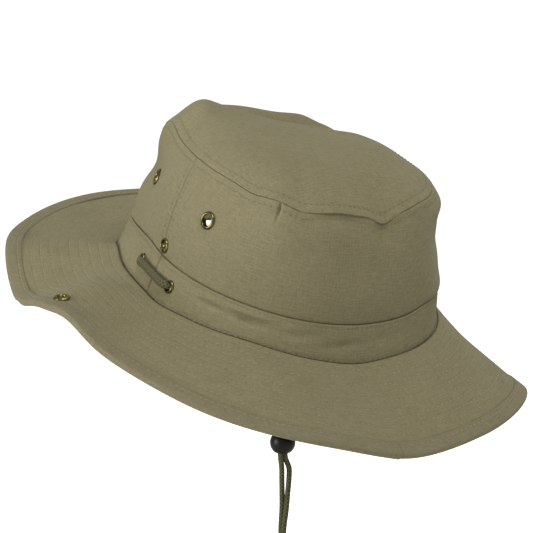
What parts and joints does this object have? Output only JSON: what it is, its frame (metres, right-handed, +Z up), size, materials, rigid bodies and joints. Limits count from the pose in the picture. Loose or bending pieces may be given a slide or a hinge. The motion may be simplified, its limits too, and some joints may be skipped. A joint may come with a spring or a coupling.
{
  "type": "boonie hat",
  "caption": "Soft cotton bucket-style sun hat with a wide stitched brim that snaps up at the sides, metal eyelets, and a chin cord with a sliding ball.",
  "frame": {"origin": "middle of the head opening, at the seam between brim and crown, where the hat sits on the head", "axes": "+Z up, +Y towards the back of the hat, +X towards the wearer's left; the hat is pitched back 15 degrees, as it is worn, and the chin cord hangs along -Z"},
  "size_m": [0.2677, 0.2998, 0.3246],
  "materials": {
    "twill": "matt olive-khaki cotton twill",
    "lining": "plain cotton tape",
    "interlining": "stiff unbleached canvas",
    "cord": "round braided cord, dull",
    "antique_brass": "antiqued, worn bright on the edges",
    "black_plastic": "satin"
  },
  "bodies": {
    "hat": {"brim_binding_back": "twill", "brim_binding_front": "twill", "brim_interlining": "interlining", "brim_top_ply": "twill", "brim_under_ply": "twill", "chin_cord": "cord", "cord_knot_left": "cord", "cord_knot_right": "cord", "cord_lace_left": "cord", "cord_lace_right": "cord", "crown_band_back": "twill", "crown_band_front": "twill", "crown_snap_post_left": "antique_brass", "crown_snap_post_right": "antique_brass", "crown_snap_stud_left": "antique_brass", "crown_snap_stud_right": "antique_brass", "crown_top": "twill", "crown_wall_back": "twill", "crown_wall_front": "twill", "lace_eyelet_left_front": "antique_brass", "lace_eyelet_left_rear": "antique_brass", "lace_eyelet_right_front": "antique_brass", "lace_eyelet_right_rear": "antique_brass", "lace_washer_left_front": "antique_brass", "lace_washer_left_rear": "antique_brass", "lace_washer_right_front": "antique_brass", "lace_washer_right_rear": "antique_brass", "sweatband": "lining", "vent_eyelet_left_front": "antique_brass", "vent_eyelet_left_rear": "antique_brass", "vent_eyelet_right_front": "antique_brass", "vent_eyelet_right_rear": "antique_brass", "vent_washer_left_front": "antique_brass", "vent_washer_left_rear": "antique_brass", "vent_washer_right_front": "antique_brass", "vent_washer_right_rear": "antique_brass"},
    "brim_left": {"brim_binding_left": "twill", "brim_interlining_left": "interlining", "brim_snap_cap_left": "antique_brass", "brim_snap_socket_left": "antique_brass", "brim_top_ply_left": "twill", "brim_under_ply_left": "twill"},
    "brim_right": {"brim_binding_right": "twill", "brim_interlining_right": "interlining", "brim_snap_cap_right": "antique_brass", "brim_snap_socket_right": "antique_brass", "brim_top_ply_right": "twill", "brim_under_ply_right": "twill"},
    "toggle": {"toggle_ball": "black_plastic"}
  },
  "joints": [
    {"name": "brim_left_fold", "type": "hinge", "parent": "hat", "child": "brim_left", "pos_m": [0.1, 0.00155, 0.0058], "axis": [0, -0.9659, 0.2588], "range_deg": [0, 125]},
    {"name": "brim_right_fold", "type": "hinge", "parent": "hat", "child": "brim_right", "pos_m": [-0.0926, -0.00078, -0.0029], "axis": [0, 0.9659, -0.2588], "range_deg": [0, 155]},
    {"name": "toggle_slide", "type": "slide", "parent": "hat", "child": "toggle", "axis": [0, 0, 1], "range_m": [-0.07, 0], "deforming": ["chin_cord"]}
  ]
}
